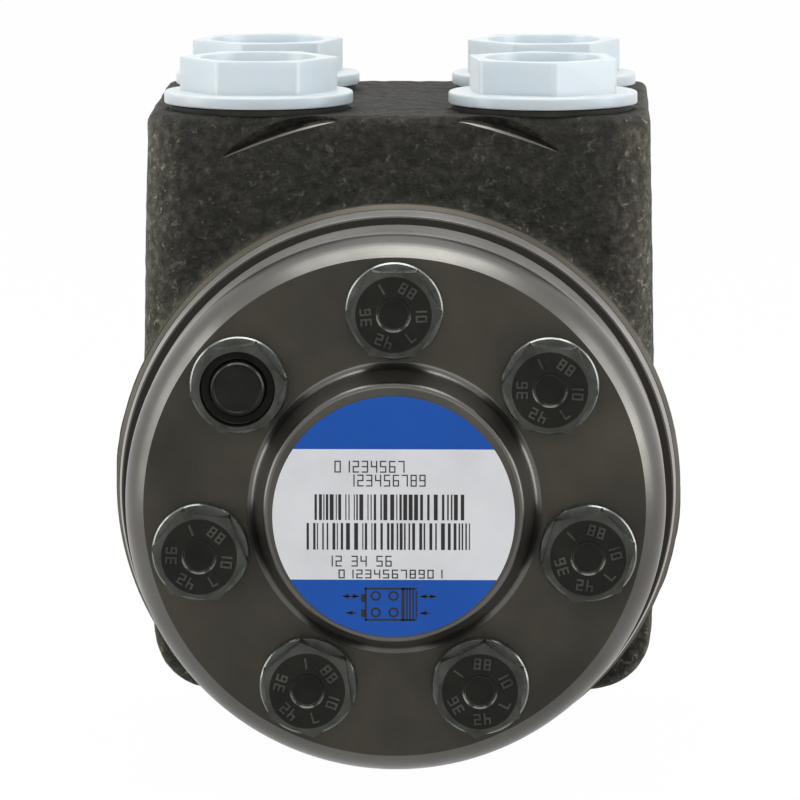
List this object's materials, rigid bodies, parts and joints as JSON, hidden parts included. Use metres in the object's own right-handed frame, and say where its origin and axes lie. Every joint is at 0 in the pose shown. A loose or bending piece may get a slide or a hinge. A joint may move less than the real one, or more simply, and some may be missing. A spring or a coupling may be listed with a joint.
{
  "type": "steering valve",
  "caption": "Orbital hydraulic steering valve with a gerotor metering unit, a spool in a sleeve, screwed end cover and plugged top ports.",
  "frame": {"origin": "on the shaft axis, in the flat face that bolts to the steering column", "axes": "+Z towards the ports, +Y out of the column face, -Y towards the end cover, +X to the right seen from the end cover"},
  "size_m": [0.1104, 0.1304, 0.1374],
  "materials": {
    "casting": "rough ductile iron casting, dark phosphate and oil",
    "cover_steel": "turned steel, dark phosphate",
    "bolt_steel": "black phosphated steel",
    "washer_steel": "dark steel with worn edge",
    "ground_steel": "ground steel",
    "inner_steel": "machined steel",
    "polished_steel": "polished hardened steel",
    "spring_steel": "blued spring steel",
    "seal_rubber": "nitrile rubber",
    "plug_seal_rubber": "flat rubber washer",
    "plug_plastic": "milky translucent polyethylene",
    "label_film": "printed blue and white film"
  },
  "bodies": {
    "valve_body": {"housing": "casting", "distributor_plate": "ground_steel", "stator_ring": "ground_steel", "end_cover": "cover_steel", "label": "label_film", "cover_bolts": "bolt_steel", "pin_bolt": "bolt_steel", "bolt_washers": "washer_steel", "check_valve_seat": "inner_steel", "housing_o_ring": "seal_rubber", "plate_o_ring": "seal_rubber", "cover_o_ring": "seal_rubber", "shaft_seal": "seal_rubber", "dust_seal": "seal_rubber", "bearing_outer_race": "polished_steel"},
    "bearing": {"bearing_cage": "inner_steel", "bearing_needles": "polished_steel"},
    "sleeve": {"sleeve": "inner_steel", "cross_pin": "polished_steel", "spring_retaining_ring": "spring_steel", "bearing_inner_race": "polished_steel", "centring_springs": "spring_steel"},
    "spool": {"spool": "inner_steel"},
    "orbit": {"rotor_spacer": "inner_steel"},
    "rotor": {"rotor": "ground_steel"},
    "drive_shaft": {"drive_shaft": "inner_steel"},
    "check_ball": {"check_valve_ball": "polished_steel"},
    "plug_front_left": {"plug_front_left": "plug_plastic", "plug_front_left_seal": "plug_seal_rubber"},
    "plug_front_right": {"plug_front_right": "plug_plastic", "plug_front_right_seal": "plug_seal_rubber"},
    "plug_rear_left": {"plug_rear_left": "plug_plastic", "plug_rear_left_seal": "plug_seal_rubber"},
    "plug_rear_right": {"plug_rear_right": "plug_plastic", "plug_rear_right_seal": "plug_seal_rubber"}
  },
  "joints": [
    {"name": "sleeve_spin", "type": "hinge", "parent": "valve_body", "child": "sleeve", "pos_m": [0, -0.05, 0], "axis": [0, 1, 0], "continuous": true},
    {"name": "spool_turn", "type": "hinge", "parent": "sleeve", "child": "spool", "pos_m": [0, -0.04, 0], "axis": [0, 1, 0], "range_deg": [-10, 10], "stiffness_Nm_per_rad": 8, "deforming": ["centring_springs"]},
    {"name": "bearing_spin", "type": "hinge", "parent": "valve_body", "child": "bearing", "pos_m": [0, -0.0115, 0], "axis": [0, 1, 0], "continuous": true},
    {"name": "rotor_orbit", "type": "hinge", "parent": "valve_body", "child": "orbit", "pos_m": [0, -0.104, 0], "axis": [0, 1, 0], "continuous": true},
    {"name": "rotor_turn", "type": "hinge", "parent": "orbit", "child": "rotor", "pos_m": [0, -0.104, -0.0032], "axis": [0, 1, 0], "continuous": true},
    {"name": "drive_shaft_turn", "type": "hinge", "parent": "orbit", "child": "drive_shaft", "pos_m": [0, -0.038, 0], "axis": [0, 0.9988, 0.0484], "continuous": true},
    {"name": "check_ball_lift", "type": "slide", "parent": "valve_body", "child": "check_ball", "axis": [0, -1, 0], "range_m": [0, 0.0012]},
    {"name": "plug_front_left_pull", "type": "slide", "parent": "valve_body", "child": "plug_front_left", "axis": [0, 0, 1], "range_m": [0, 0.03]},
    {"name": "plug_front_right_pull", "type": "slide", "parent": "valve_body", "child": "plug_front_right", "axis": [0, 0, 1], "range_m": [0, 0.03]},
    {"name": "plug_rear_left_pull", "type": "slide", "parent": "valve_body", "child": "plug_rear_left", "axis": [0, 0, 1], "range_m": [0, 0.03]},
    {"name": "plug_rear_right_pull", "type": "slide", "parent": "valve_body", "child": "plug_rear_right", "axis": [0, 0, 1], "range_m": [0, 0.03]}
  ],
  "couplings": [
    {"joint": "bearing_spin", "follows": "sleeve_spin", "ratio": 0.5},
    {"joint": "rotor_orbit", "follows": "sleeve_spin", "ratio": -6},
    {"joint": "rotor_turn", "follows": "sleeve_spin", "ratio": 7},
    {"joint": "drive_shaft_turn", "follows": "sleeve_spin", "ratio": 7}
  ]
}
